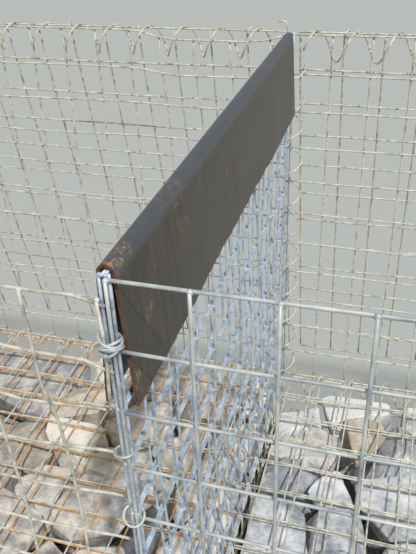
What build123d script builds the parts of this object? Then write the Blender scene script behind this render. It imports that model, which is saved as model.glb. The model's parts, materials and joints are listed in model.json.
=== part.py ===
"""Gabion wall of two courses, each two welded-mesh baskets long, in millimetres.

X runs along the wall, Y goes to the back and Z is up. The origin is on the ground, halfway
through the wall, at the edge wire where the right baskets meet the left ones.
The lower course is full of stone and lidded. The upper course stands open and empty, with its
lids hanging behind it on their hinge coils, and a folded steel guard rides the party panels.
"""
import os
from math import atan2, ceil, cos, floor, hypot, pi, radians, sin, sqrt

from build123d import *

# Mesh and wire
MESH = 76.2
WIRE = 3.8
SEAT = 0.3

# One basket, in mesh openings
ALONG = 24
DEEP = 12
HIGH = 11

# Where the two baskets of a course meet
PARTY_GAP = 2.6
PARTY_RISE = 3.0

# How the sheets were cut: the first opening of a shifted sheet is this wide
LEFT_BACK_SHIFT = 45.0
LID_SHIFT = 21.0
FRONT_DROP = 28.0
FRONT_SLIP = 11.0

# Coils that lace the sheets together, and the lids' hinges
COIL_RADIUS = 29.0
COIL_BAR = 3.4
COIL_RUNS = 12
COIL_PAST_UPRIGHT = 7.0
COURSE_COIL_PHASE = 20.0
RUNNING = 5.0
HINGE_CLEAR = 0.8
LID_INSET = 13.0
LID_LEAN = 12.0
LID_COIL_GAP = 165.0
COIL_KEEP = 3.0

# Crimped rings at the front corners
RING_WIRE = 3.0
RING_STACK = 4
RING_DROPS = [204.0, 301.0, 440.0, 580.0, 700.0]

# Folded steel guard over the party panels
GUARD_PLATE = 3.0
GUARD_INNER = 6.0
GUARD_LEG = 150.0
GUARD_SPLAY = 3.0
GUARD_FRONT_GAP = 6.0
GUARD_BACK_GAP = 34.0

HALF = WIRE / 2
LENGTH = ALONG * MESH
DEPTH = DEEP * MESH
HEIGHT = HIGH * MESH
FRONT = -DEPTH / 2
BACK = DEPTH / 2
LAYER = WIRE + SEAT
PARTY_STEP = PARTY_GAP + WIRE
LEFT_START = -PARTY_STEP - LENGTH
RIGHT_START = 0.0
LOWER_FOOT = HALF + LAYER
LOWER_TOP = LOWER_FOOT + HEIGHT
UPPER_BASE = LOWER_TOP + 2 * LAYER
UPPER_FOOT = UPPER_BASE + LAYER
UPPER_TOP = UPPER_FOOT + HEIGHT
COIL_REACH = COIL_BAR / sqrt(2)
COIL_CORNER = COIL_RADIUS / cos(pi / COIL_RUNS)
COIL_INSET = LID_INSET + HALF + COIL_REACH + RUNNING
COURSE_COIL_Z = UPPER_FOOT + HALF + SEAT + COIL_REACH - COIL_RADIUS
HINGE_OFFSET = HALF + (HALF + HINGE_CLEAR) / sqrt(2)
HINGE_Y = BACK + HINGE_OFFSET
HINGE_Z = UPPER_TOP + HINGE_OFFSET

BASKETS = {
    "left": {"start": LEFT_START, "party": -PARTY_STEP, "outer": LEFT_START,
             "back_shift": LEFT_BACK_SHIFT, "front_drop": FRONT_DROP, "front_slip": FRONT_SLIP},
    "right": {"start": RIGHT_START, "party": RIGHT_START, "outer": LENGTH,
              "back_shift": 0.0, "front_drop": 0.0, "front_slip": 0.0},
}


def wire_places(start, openings, shift=0.0):
    """Places of the parallel wires of a sheet: its two edges, and the grid between them."""
    end = start + openings * MESH
    grid = [start + shift + step * MESH for step in range(openings + 1)]
    inner = [place for place in grid if start + WIRE < place < end - WIRE]
    return [start] + inner + [end]


def corners(low_x, high_x, low_y, high_y):
    """Closed rectangular wire between two corners."""
    points = [(low_x, low_y), (high_x, low_y), (high_x, high_y), (low_x, high_y)]
    return Wire.make_polygon([(x, y, 0) for x, y in points], close=True)


def stubbed(across, up, stub):
    """Outline of a sheet whose level bars run past the last upright."""
    left, right = across[0] - HALF, across[-1] + HALF
    points = [(left, up[0] - HALF)]
    for row in up:
        low, high = row - HALF, row + HALF
        points += [(right, low), (right + stub, low), (right + stub, high), (right, high)]
    points = points[:1] + points[2:-1] + [(left, up[-1] + HALF)]
    return Wire.make_polygon([(x, y, 0) for x, y in points], close=True)


def mesh_sheet(plane, across, up, stub=0.0):
    """Welded sheet with a bar at each place of the two lists, lying on the plane."""
    if stub:
        outline = stubbed(across, up, stub)
    else:
        outline = corners(across[0] - HALF, across[-1] + HALF, up[0] - HALF, up[-1] + HALF)
    holes = [
        corners(left + HALF, right - HALF, low + HALF, high - HALF)
        for left, right in zip(across, across[1:])
        for low, high in zip(up, up[1:])
    ]
    face = Face(outline).make_holes(holes)
    return plane * extrude(face, amount=WIRE, dir=(0, 0, 1))


def flat_sheet(z, across, up):
    """Level sheet with its middle at height z."""
    return mesh_sheet(Plane((0, 0, z - HALF)), across, up)


def long_sheet(y, across, up, stub=0.0):
    """Upright sheet along the wall with its middle at y."""
    plane = Plane((0, y + HALF, 0), x_dir=(1, 0, 0), z_dir=(0, -1, 0))
    return mesh_sheet(plane, across, up, stub)


def upper_front(basket):
    """Front sheet of an upper basket, cut low and slipped along the wall on the left."""
    slip = basket["front_slip"]
    places = wire_places(basket["start"], ALONG, MESH - slip)
    if slip:
        places = places[:-1]
    return long_sheet(FRONT, places, levels(UPPER_FOOT, basket["front_drop"]), slip)


def cross_sheet(x, across, up):
    """Upright sheet across the wall with its middle at x."""
    return mesh_sheet(Plane((x - HALF, 0, 0), x_dir=(0, 1, 0), z_dir=(1, 0, 0)), across, up)


def depth_places():
    """Wires of a cross sheet, which stands between the front sheet and the back one."""
    inner = wire_places(FRONT, DEEP)[1:-1]
    return [FRONT + LAYER] + inner + [BACK - LAYER]


def levels(foot, drop=0.0, rise=0.0):
    """Heights of the level wires of an upright sheet that stands on foot."""
    top = foot + HEIGHT - drop
    grid = [top - step * MESH for step in range(HIGH)]
    return [foot] + grid[:0:-1] + [top + rise]


def bar_along(points):
    """Square bar through a chain of points, mitred where two runs meet."""
    runs = [(end - start).normalized() for start, end in zip(points, points[1:])]
    across = runs[0].cross(Vector(0, 0, 1)).normalized()
    up = runs[0].cross(across)
    half = COIL_BAR / 2
    ring = [points[0] + across * half * i + up * half * j for i, j in ((-1, -1), (1, -1), (1, 1), (-1, 1))]
    faces = [Face(Wire.make_polygon(ring, close=True))]
    for number, run in enumerate(runs):
        end = points[number + 1]
        mitre = run + runs[min(number + 1, len(runs) - 1)]
        after = [corner + run * ((end - corner).dot(mitre) / run.dot(mitre)) for corner in ring]
        for here in range(4):
            there = (here + 1) % 4
            side = [ring[here], ring[there], after[there], after[here]]
            faces.append(Face(Wire.make_polygon(side, close=True)))
        ring = after
    faces.append(Face(Wire.make_polygon(ring[::-1], close=True)))
    return Solid(Shell(faces))


def coil(origin, toward, along, touch, first, last, left_handed):
    """Coil about an axis, in straight runs whose middles lie at the coil's radius.

    Its wire passes the direction toward at the place touch along the axis, and a pitch apart
    from there, and it runs between the places first and last.
    """
    turn = -2 * pi if left_handed else 2 * pi
    lowest = ceil((first - touch) / MESH * COIL_RUNS - 0.5)
    highest = floor((last - touch) / MESH * COIL_RUNS - 0.5)
    points = []
    for corner in range(lowest, highest + 1):
        share = (corner + 0.5) / COIL_RUNS
        x = COIL_CORNER * cos(turn * share)
        y = COIL_CORNER * sin(turn * share)
        points.append(Vector(x, y, touch + share * MESH))
    return Plane(origin, x_dir=toward, z_dir=along) * bar_along(points)


def level_coil(start, y, z, angle, touch):
    """Coil along the wall over one basket, whose wire passes the angle, from +Y up, at touch."""
    toward = (0, cos(angle), sin(angle))
    first = start + COIL_INSET
    last = start + LENGTH - COIL_INSET
    return coil((0, y, z), toward, (1, 0, 0), touch, first, last, True)


def hinge_coil(basket):
    """Coil round the back sheet's top wire and the lid's edge wire, hung on the lid's edge."""
    reach = COIL_RADIUS - COIL_REACH - HALF - SEAT
    drop = sqrt(reach ** 2 - HINGE_OFFSET ** 2)
    angle = atan2(drop, HINGE_OFFSET)
    lowest = basket["start"] + basket["back_shift"] + COIL_PAST_UPRIGHT
    touch = lowest + MESH * (3 * pi / 2 - angle) / (2 * pi)
    return level_coil(basket["start"], BACK, HINGE_Z - drop, angle, touch)


def course_coil(basket, y):
    """Coil that laces the upper basket to the lower one along a long edge."""
    touch = basket["start"] + COURSE_COIL_PHASE
    return level_coil(basket["start"], y, COURSE_COIL_Z, pi / 2, touch)


def corner_coil(x, toward, left_handed, foot, first, last):
    """Upright coil round a back corner, whose turns rest on a back sheet's level wires."""
    lead = MESH / (2 * pi * COIL_RADIUS)
    rest = HALF + COIL_REACH * sqrt(1 + lead ** 2) + HALF * lead + SEAT
    return coil((x, BACK, 0), (toward, 0, 0), (0, 0, 1), foot + rest, first, last, left_handed)


def corner_coils(foot, first, last):
    """The coils of one course: at the two outer corners and where the baskets meet."""
    bundles = [(LEFT_START, 1, False), (-PARTY_STEP / 2, -1, False), (LENGTH, -1, True)]
    return Compound([corner_coil(*bundle, foot, first, last) for bundle in bundles])


def ring(x, y, z, half_width, half_depth):
    """Crimped ring round a bundle of upright wires."""
    radius = hypot(half_width, half_depth) + SEAT + RING_WIRE / 2
    return Pos(x, y, z) * Torus(radius, RING_WIRE / 2)


def front_rings(foot):
    """Rings of one course: a stack under the top and single ones below, at three corners."""
    top = foot + HEIGHT
    lowest = top - MESH + HALF + SEAT + RING_WIRE / 2
    heights = [lowest + turn * (RING_WIRE + SEAT) for turn in range(RING_STACK)]
    heights += [top - drop for drop in RING_DROPS]
    half_depth = (WIRE + LAYER) / 2
    y = FRONT + LAYER / 2
    bundles = [(LEFT_START, HALF), (-PARTY_STEP / 2, HALF + PARTY_STEP / 2), (LENGTH, HALF)]
    return Compound([
        ring(x, y, z, half_width, half_depth)
        for x, half_width in bundles
        for z in heights
    ])


def guard_outline(radius):
    """Tangent points, crown and leg ends of one skin of the guard, from right to left."""
    lean = radians(GUARD_SPLAY)
    tangent = (radius * cos(lean), radius * sin(lean))
    end = (tangent[0] + GUARD_LEG * sin(lean), tangent[1] - GUARD_LEG * cos(lean))
    crown = (0, radius)
    return end, tangent, crown, (-tangent[0], tangent[1]), (-end[0], end[1])


def filling_guard():
    """Steel plate folded over the two party sheets, with splayed legs."""
    outer = guard_outline(GUARD_INNER + GUARD_PLATE)
    inner = guard_outline(GUARD_INNER)
    edges = [
        Line(outer[0], outer[1]),
        ThreePointArc(outer[1], outer[2], outer[3]),
        Line(outer[3], outer[4]),
        Line(outer[4], inner[4]),
        Line(inner[4], inner[3]),
        ThreePointArc(inner[3], inner[2], inner[1]),
        Line(inner[1], inner[0]),
        Line(inner[0], outer[0]),
    ]
    profile = Face(Wire(edges))
    shoulder = PARTY_STEP / 2 + HALF
    crown_z = UPPER_TOP + PARTY_RISE + HALF + SEAT - sqrt(GUARD_INNER ** 2 - shoulder ** 2)
    first = FRONT + HALF + GUARD_FRONT_GAP
    length = BACK - GUARD_BACK_GAP - first
    plane = Plane((-PARTY_STEP / 2, first, crown_z), x_dir=(-1, 0, 0), z_dir=(0, 1, 0))
    return plane * extrude(profile, amount=length, dir=(0, 0, 1))


def stone_fill(low_x, high_x):
    """Stone of one cell of the lower course, held back from the coils at the edges."""
    low_y = FRONT + HALF + SEAT
    high_y = BACK - HALF - SEAT
    low_z = WIRE + SEAT
    high_z = LOWER_TOP + LAYER - HALF - SEAT
    keep = COIL_CORNER + COIL_REACH + COIL_KEEP
    post_cut = keep * sqrt(2) - 2 * (HALF + SEAT)
    coil_drop = high_z - COURSE_COIL_Z
    edge_cut = keep * sqrt(2) + coil_drop - (HALF + SEAT)
    plan = [
        (low_x + post_cut, low_y), (high_x - post_cut, low_y), (high_x, low_y + post_cut),
        (high_x, high_y - post_cut), (high_x - post_cut, high_y), (low_x + post_cut, high_y),
        (low_x, high_y - post_cut), (low_x, low_y + post_cut),
    ]
    side = [
        (low_y, low_z), (high_y, low_z), (high_y, high_z - edge_cut), (high_y - edge_cut, high_z),
        (low_y + edge_cut, high_z), (low_y, high_z - edge_cut),
    ]
    upright = extrude(make_face(Polyline(*plan, close=True)), amount=high_z)
    across = Plane((low_x, 0, 0), x_dir=(0, 1, 0), z_dir=(1, 0, 0))
    lengthways = across * extrude(make_face(Polyline(*side, close=True)), amount=high_x - low_x)
    return upright & lengthways


def hanging_lid(basket):
    """Lid of an upper basket, hung down behind it by its edge wire, which is the hinge pin."""
    start = basket["start"] + LID_INSET
    end = basket["start"] + LENGTH - LID_INSET
    shift = basket["back_shift"] + LID_SHIFT
    grid = [basket["start"] + shift + step * MESH for step in range(-1, ALONG + 1)]
    inner = [place for place in grid if start + MESH / 4 < place < end - MESH / 4]
    across = [start] + inner + [end]
    up = [-DEPTH + step * MESH for step in range(DEEP)]
    sheet = mesh_sheet(Plane((0, 0, -HALF)), across, up)
    arms = [
        Pos(place, -MESH / 2, 0) * Box(WIRE, MESH, WIRE)
        for place in across
    ]
    pin = Plane((start - HALF, 0, 0), z_dir=(1, 0, 0)) * Cylinder(
        HALF, end - start + WIRE, align=(Align.CENTER, Align.CENTER, Align.MIN))
    lid = sheet.fuse(*arms, pin)
    hang = Plane((0, HINGE_Y, HINGE_Z), x_dir=(1, 0, 0),
                 z_dir=(0, -cos(radians(LID_LEAN)), -sin(radians(LID_LEAN))))
    return hang * lid


def basket_nodes(side, basket):
    """All sheets of the lower and upper basket on one side of the party line."""
    start = basket["start"]
    plain = wire_places(start, ALONG)
    shifted = wire_places(start, ALONG, basket["back_shift"])
    lid_wires = wire_places(start, ALONG, LID_SHIFT)
    rows = wire_places(FRONT, DEEP)
    across = depth_places()
    low = levels(LOWER_FOOT)
    high = levels(UPPER_FOOT)
    divider = start + basket["back_shift"] + MESH * (ALONG // 2)
    return {
        f"lower_base_{side}": flat_sheet(HALF, plain, rows),
        f"lower_front_{side}": long_sheet(FRONT, plain, low),
        f"lower_back_{side}": long_sheet(BACK, shifted, low),
        f"lower_end_{side}": cross_sheet(basket["outer"], across, low),
        f"lower_party_{side}": cross_sheet(basket["party"], across, low),
        f"lower_lid_{side}": flat_sheet(LOWER_TOP + LAYER, lid_wires, rows),
        f"upper_base_{side}": flat_sheet(UPPER_BASE, plain, rows),
        f"upper_front_{side}": upper_front(basket),
        f"upper_back_{side}": long_sheet(BACK, shifted, high),
        f"upper_end_{side}": cross_sheet(basket["outer"], across, high),
        f"upper_party_{side}": cross_sheet(basket["party"], across, levels(UPPER_FOOT, rise=PARTY_RISE)),
        f"upper_diaphragm_{side}": cross_sheet(divider, across, high),
        f"upper_lid_{side}": hanging_lid(basket),
        f"hinge_coil_{side}": hinge_coil(basket),
        f"course_coils_{side}": Compound([course_coil(basket, y) for y in (FRONT, BACK)]),
    }


def fill_nodes():
    """The stone of the lower course, two cells to a basket."""
    nodes = {}
    for first, basket in ((1, BASKETS["left"]), (3, BASKETS["right"])):
        low = basket["start"] + HALF + SEAT
        high = basket["start"] + LENGTH - HALF - SEAT
        middle = (low + high) / 2
        nodes[f"stone_fill_{first}"] = stone_fill(low, middle - SEAT / 2)
        nodes[f"stone_fill_{first + 1}"] = stone_fill(middle + SEAT / 2, high)
    return nodes


def wall_nodes():
    """Every piece of the wall by its name."""
    nodes = {}
    for side, basket in BASKETS.items():
        nodes.update(basket_nodes(side, basket))
    nodes.update(fill_nodes())
    clear = COIL_CORNER + 2 * COIL_REACH + RUNNING
    nodes["lower_corner_coils"] = corner_coils(LOWER_FOOT, LOWER_FOOT + RUNNING, COURSE_COIL_Z - clear)
    nodes["upper_corner_coils"] = corner_coils(UPPER_FOOT, COURSE_COIL_Z + clear, UPPER_TOP - LID_COIL_GAP)
    nodes["lower_front_rings"] = front_rings(LOWER_FOOT)
    nodes["upper_front_rings"] = front_rings(UPPER_FOOT)
    nodes["filling_guard"] = filling_guard()
    return nodes


os.makedirs("parts", exist_ok=True)
for name, shape in wall_nodes().items():
    export_step(shape, f"parts/{name}.step", write_pcurves=False)
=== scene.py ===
"""Dresses the gabion wall: round welded wire, coils, crimped rings, folded guard and loose stone.

Lengths are metres. X runs along the wall, Y to the back and Z up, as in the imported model.
"""
from __future__ import annotations

import json
import logging
from collections.abc import Callable, Iterable
from dataclasses import dataclass, field
from enum import Enum
from math import asin, atan2, cos, hypot, pi, radians, sin, sqrt, tau

import bmesh
import bpy
import numpy as np
from mathutils import Matrix, Vector, noise


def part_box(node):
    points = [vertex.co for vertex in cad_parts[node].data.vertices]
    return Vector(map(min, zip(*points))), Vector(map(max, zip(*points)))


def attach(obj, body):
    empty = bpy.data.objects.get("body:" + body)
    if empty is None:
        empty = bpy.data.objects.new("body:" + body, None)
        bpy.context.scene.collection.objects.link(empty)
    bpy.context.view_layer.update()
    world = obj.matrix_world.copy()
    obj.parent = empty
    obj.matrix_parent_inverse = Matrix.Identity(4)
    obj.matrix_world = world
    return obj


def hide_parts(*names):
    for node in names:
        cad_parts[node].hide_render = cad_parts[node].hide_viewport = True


LOG = logging.getLogger("gabion_wall")
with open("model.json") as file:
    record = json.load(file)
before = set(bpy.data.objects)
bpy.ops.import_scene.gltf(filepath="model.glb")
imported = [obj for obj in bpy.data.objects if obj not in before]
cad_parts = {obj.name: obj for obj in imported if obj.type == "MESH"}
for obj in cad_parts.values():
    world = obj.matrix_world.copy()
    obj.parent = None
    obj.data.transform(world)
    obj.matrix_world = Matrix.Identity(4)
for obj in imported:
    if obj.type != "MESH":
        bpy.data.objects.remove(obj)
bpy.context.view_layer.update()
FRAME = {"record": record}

MM = 0.001

# Welded mesh
MESH = 76.2 * MM
WIRE = 3.8 * MM
HALF = WIRE / 2
WELD_SINK = 0.3 * MM
LAYER_STEP = (WIRE - WELD_SINK) / 2
LAYER = 4.1 * MM
ALONG = 24
DEEP = 12
UPRIGHT_HINT = (0.31, 0.95, 0.0)
LEVEL_HINT = (0.0, 0.0, 1.0)

# Where the sheets stand
PARTY_LINE = -3.2 * MM
PARTY_RISE = 3 * MM
LEFT_BACK_SHIFT = 45 * MM
LID_SHIFT = 21 * MM
FRONT_SLIP = 11 * MM

# Coils
COIL_RADIUS = 29 * MM
COIL_HALF = HALF * 0.93
COIL_SIDES = 8
PART_TURN_STEPS = 12
HINGE_OFFSET = 3.81 * MM
HINGE_CLEAR = 0.8 * MM
HINGE_WANDER = 0.6 * MM
PAST_UPRIGHT = 7 * MM
COURSE_PHASE = 20 * MM
COURSE_SEAT = 0.3 * MM
CORNER_REST = 5 * MM

# Bent-over end of the left hinge coil, in millimetres
HOOK = ((-7, 440, 1684), (-7, 440, 1691), (-8, 440, 1702), (-9, 440, 1713),
        (-12, 440, 1720), (-18, 440, 1722), (-25, 440, 1721))

# Crimped rings: a stack near the top, and single ones whose drops are in millimetres
RING_WIRE = 3.0 * MM
RING_STACK = 4
RING_GAP = 0.3 * MM
STACK_DROP = 62.6 * MM
RING_DROPS = (204, 301, 440, 580, 700)
OUTER_RING_LESS = 2.1 * MM

MIX_A, MIX_B, MIX_OUT = 6, 7, 2

Point = tuple[float, float, float]
Places = list[float]
Plane = tuple[np.ndarray, np.ndarray]


class Facing(Enum):
    """Which way a sheet lies."""

    LEVEL = "level"
    ALONG = "along"
    ACROSS = "across"


def linear(code: str) -> tuple[float, float, float, float]:
    """Turns an sRGB hex code into a linear colour.

    Args:
        code: six hex digits, without a sign in front.

    Returns:
        Red, green, blue and an alpha of one.
    """
    parts = [int(code[place:place + 2], 16) / 255 for place in (0, 2, 4)]
    red, green, blue = [
        part / 12.92 if part <= 0.04045 else ((part + 0.055) / 1.055) ** 2.4 for part in parts
    ]
    return red, green, blue, 1.0


def add_node(tree: bpy.types.NodeTree, kind: str, values: dict | None = None,
             links: dict | None = None, **settings: object) -> bpy.types.Node:
    """Adds one node with its settings, socket values and incoming links.

    Args:
        tree: the material's node tree.
        kind: Blender's name of the node type.
        values: socket name or index to its value.
        links: socket name or index to the output that feeds it.
        **settings: the node's own properties.

    Returns:
        The new node.
    """
    node = tree.nodes.new(kind)
    for name, value in settings.items():
        setattr(node, name, value)
    for socket, value in (values or {}).items():
        node.inputs[socket].default_value = value
    for socket, source in (links or {}).items():
        tree.links.new(source, node.inputs[socket])
    return node


def set_ramp(node: bpy.types.Node, stops: Iterable[tuple[float, str]]) -> None:
    """Fills a colour ramp.

    Args:
        node: the ramp node.
        stops: place along the ramp and hex colour of each stop.
    """
    stops = list(stops)
    ramp = node.color_ramp
    while len(ramp.elements) < len(stops):
        ramp.elements.new(1.0)
    for element, (place, code) in zip(ramp.elements, stops):
        element.position = place
        element.color = linear(code)


def per_metre(size_mm: float) -> float:
    """Noise scale that gives features about size_mm wide."""
    return 1.0 / (size_mm * MM)


def new_material(name: str) -> tuple[bpy.types.Material, bpy.types.NodeTree]:
    """Makes an empty node material.

    Args:
        name: the material's name.

    Returns:
        The material and its tree.
    """
    material = bpy.data.materials.new(name)
    material.use_nodes = True
    material.node_tree.nodes.clear()
    return material, material.node_tree


def new_object(name: str, data: bpy.types.Mesh, material: bpy.types.Material) -> bpy.types.Object:
    """Puts a mesh in the scene.

    Args:
        name: the object's name.
        data: its mesh.
        material: its finish.

    Returns:
        The object.
    """
    data.materials.append(material)
    piece = bpy.data.objects.new(name, data)
    bpy.context.scene.collection.objects.link(piece)
    return piece


def smooth_mesh(name: str, points: list, faces: list[tuple[int, ...]]) -> bpy.types.Mesh:
    """Makes a smooth-shaded mesh.

    Args:
        name: the mesh's name.
        points: its vertices.
        faces: its faces.

    Returns:
        The mesh.
    """
    data = bpy.data.meshes.new(name)
    data.from_pydata(points, [], faces)
    data.polygons.foreach_set("use_smooth", [True] * len(data.polygons))
    data.update()
    return data


@dataclass(frozen=True)
class DrawnWireZinc:
    """Hot-dip galvanised steel wire: dull zinc with a chalky bloom, and rust where it wore off."""

    name: str
    zinc: str
    bloom: str
    shade: str
    metallic: float
    roughness: float
    rust: str = "8A4A22"
    rust_share: float = 0.0
    bloom_mm: float = 14.0
    grime_mm: float = 55.0
    # unevenness of the zinc skin, drawn coarser than the real half millimetre so that it shows
    grain_mm: float = 1.6

    def material(self) -> bpy.types.Material:
        """Builds the wire's finish.

        Returns:
            The material.
        """
        material, tree = new_material(self.name)
        where = add_node(tree, "ShaderNodeTexCoord").outputs["Object"]
        bloom = add_node(tree, "ShaderNodeTexNoise",
                         {"Scale": per_metre(self.bloom_mm), "Detail": 4.0, "Roughness": 0.6},
                         {"Vector": where})
        tone = add_node(tree, "ShaderNodeValToRGB", links={"Fac": bloom.outputs["Fac"]})
        set_ramp(tone, ((0.30, self.shade), (0.50, self.zinc), (0.72, self.bloom)))
        grime = add_node(tree, "ShaderNodeTexNoise",
                         {"Scale": per_metre(self.grime_mm), "Detail": 6.0, "Roughness": 0.7},
                         {"Vector": where})
        bare = 0.5 * (1.0 - self.rust_share)
        spread = add_node(tree, "ShaderNodeMapRange",
                          {"From Min": 0.22 + bare, "From Max": 0.30 + bare},
                          {"Value": grime.outputs["Fac"]})
        colour = add_node(tree, "ShaderNodeMix", {MIX_B: linear(self.rust)},
                          {0: spread.outputs["Result"], MIX_A: tone.outputs["Color"]},
                          data_type="RGBA")
        grain = add_node(tree, "ShaderNodeTexNoise",
                         {"Scale": per_metre(self.grain_mm), "Detail": 3.0}, {"Vector": where})
        bump = add_node(tree, "ShaderNodeBump", {"Strength": 0.35, "Distance": 0.5 * MM},
                        {"Height": grain.outputs["Fac"]})
        shader = add_node(tree, "ShaderNodeBsdfPrincipled",
                          {"Metallic": self.metallic, "Roughness": self.roughness},
                          {"Base Color": colour.outputs[MIX_OUT], "Normal": bump.outputs["Normal"]})
        add_node(tree, "ShaderNodeOutputMaterial", links={"Surface": shader.outputs["BSDF"]})
        return material


# Fresh zinc: cool blue-white, with a little gloss
ZINC_BRIGHT = DrawnWireZinc("galvanised_wire_bright", zinc="B7C5D3", bloom="D6E0E8", shade="8997A6",
                            metallic=0.30, roughness=0.48)
# Weathered zinc: cream and chalky
ZINC_CREAM = DrawnWireZinc("galvanised_wire_weathered", zinc="CECBBC", bloom="EAE7DA", shade="98958A",
                           metallic=0.15, roughness=0.60)
# Lacing wire: cream, a little glossier than the sheets
ZINC_COIL = DrawnWireZinc("galvanised_coil_wire", zinc="CFCBBA", bloom="E4E0D0", shade="96927F",
                          metallic=0.22, roughness=0.52)
# Half-weathered zinc: grey with long cream stretches
ZINC_FRONT = DrawnWireZinc("galvanised_wire_front", zinc="BCC2C2", bloom="DEDED4", shade="87909A",
                           bloom_mm=40.0, metallic=0.25, roughness=0.50)
# Wire whose zinc is spent: sandy orange and matt
WIRE_RUSTED = DrawnWireZinc("rust_stained_wire", zinc="D6A369", bloom="E4C08F", shade="AB7B4B",
                            rust="B47440", rust_share=0.25, metallic=0.05, roughness=0.75)


@dataclass(frozen=True)
class HotRolledPlate:
    """Hot-rolled mild steel with its mill scale on: blue-black, with drawn streaks and rust, and a painted
    bluish highlight along the crown.
    """

    name: str = "hot_rolled_steel_guard"
    scale: str = "453E37"
    streak: str = "554B40"
    dark: str = "34302C"
    # painted highlight: bluish colour laid on the rounded crown for the sky's reflection, and how strongly
    # it is laid on
    crown: str = "5A616B"
    crown_highlight_share: float = 0.75
    rust: str = "543A2E"
    edge: str = "7C5644"
    fleck: str = "AE8C66"
    handled_wear: float = 0.060
    streak_mm: float = 9.0
    # flecks of rust, drawn coarser than the real ones of about 1 mm so that they show
    speck_mm: float = 3.0
    patch_mm: float = 60.0

    def material(self) -> bpy.types.Material:
        """Builds the guard's finish from its mill scale, flecks and cut edges, with a painted bluish
        highlight along the crown.

        Returns:
            The material.
        """
        material, tree = new_material(self.name)
        where = add_node(tree, "ShaderNodeTexCoord").outputs["Object"]
        stretch = add_node(tree, "ShaderNodeMapping", {"Scale": (1.0, 1.0, 0.12)}, {"Vector": where})
        streaks = add_node(tree, "ShaderNodeTexNoise",
                           {"Scale": per_metre(self.streak_mm), "Detail": 5.0, "Roughness": 0.55},
                           {"Vector": stretch.outputs["Vector"]})
        tone = add_node(tree, "ShaderNodeValToRGB", links={"Fac": streaks.outputs["Fac"]})
        set_ramp(tone, ((0.30, self.dark), (0.52, self.scale), (0.75, self.streak)))
        # painted highlight: where the mesh marks the crown, the colour turns toward the bluish crown tone,
        # standing in for the sky's reflection; bloom here is that highlight's strength
        folded = add_node(tree, "ShaderNodeAttribute", attribute_name="crown")
        bloom = add_node(tree, "ShaderNodeMath", {1: self.crown_highlight_share}, {0: folded.outputs["Fac"]},
                         operation="MULTIPLY")
        skin = add_node(tree, "ShaderNodeMix", {MIX_B: linear(self.crown)},
                        {0: bloom.outputs["Value"], MIX_A: tone.outputs["Color"]}, data_type="RGBA")
        drawn = add_node(tree, "ShaderNodeMapping", {"Scale": (1.0, 1.0, 0.40)}, {"Vector": where})
        specks = add_node(tree, "ShaderNodeTexNoise",
                          {"Scale": per_metre(self.speck_mm), "Detail": 5.0, "Roughness": 0.62},
                          {"Vector": drawn.outputs["Vector"]})
        patch = add_node(tree, "ShaderNodeTexNoise", {"Scale": per_metre(self.patch_mm), "Detail": 2.0},
                         {"Vector": where})
        both = add_node(tree, "ShaderNodeMath", links={0: specks.outputs["Fac"], 1: patch.outputs["Fac"]},
                        operation="MULTIPLY")
        handled = add_node(tree, "ShaderNodeAttribute", attribute_name="handled")
        wear = add_node(tree, "ShaderNodeMath", {1: self.handled_wear}, {0: handled.outputs["Fac"]},
                        operation="MULTIPLY")
        worn = add_node(tree, "ShaderNodeMath", links={0: both.outputs["Value"], 1: wear.outputs["Value"]},
                        operation="ADD")
        spots = add_node(tree, "ShaderNodeMapRange", {"From Min": 0.375, "From Max": 0.47},
                         {"Value": worn.outputs["Value"]})
        cut = add_node(tree, "ShaderNodeAttribute", attribute_name="cut_edge")
        rusty = add_node(tree, "ShaderNodeMath", links={0: spots.outputs["Result"], 1: cut.outputs["Fac"]},
                         operation="MAXIMUM")
        rust_tone = add_node(tree, "ShaderNodeValToRGB", links={"Fac": specks.outputs["Fac"]})
        set_ramp(rust_tone, ((0.35, self.rust), (0.65, self.edge)))
        flecked = add_node(tree, "ShaderNodeMix", {MIX_B: linear(self.fleck)},
                           {0: spots.outputs["Result"], MIX_A: skin.outputs[MIX_OUT]},
                           data_type="RGBA")
        colour = add_node(tree, "ShaderNodeMix",
                          links={0: cut.outputs["Fac"], MIX_A: flecked.outputs[MIX_OUT],
                                 MIX_B: rust_tone.outputs["Color"]}, data_type="RGBA")
        rough = add_node(tree, "ShaderNodeMapRange", {"To Min": 0.38, "To Max": 0.85},
                         {"Value": rusty.outputs["Value"]})
        bump = add_node(tree, "ShaderNodeBump", {"Strength": 0.25, "Distance": 0.6 * MM},
                        {"Height": specks.outputs["Fac"]})
        shader = add_node(tree, "ShaderNodeBsdfPrincipled", {"Metallic": 0.30},
                          {"Base Color": colour.outputs[MIX_OUT], "Roughness": rough.outputs["Result"],
                           "Normal": bump.outputs["Normal"]})
        add_node(tree, "ShaderNodeOutputMaterial", links={"Surface": shader.outputs["BSDF"]})
        return material


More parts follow.
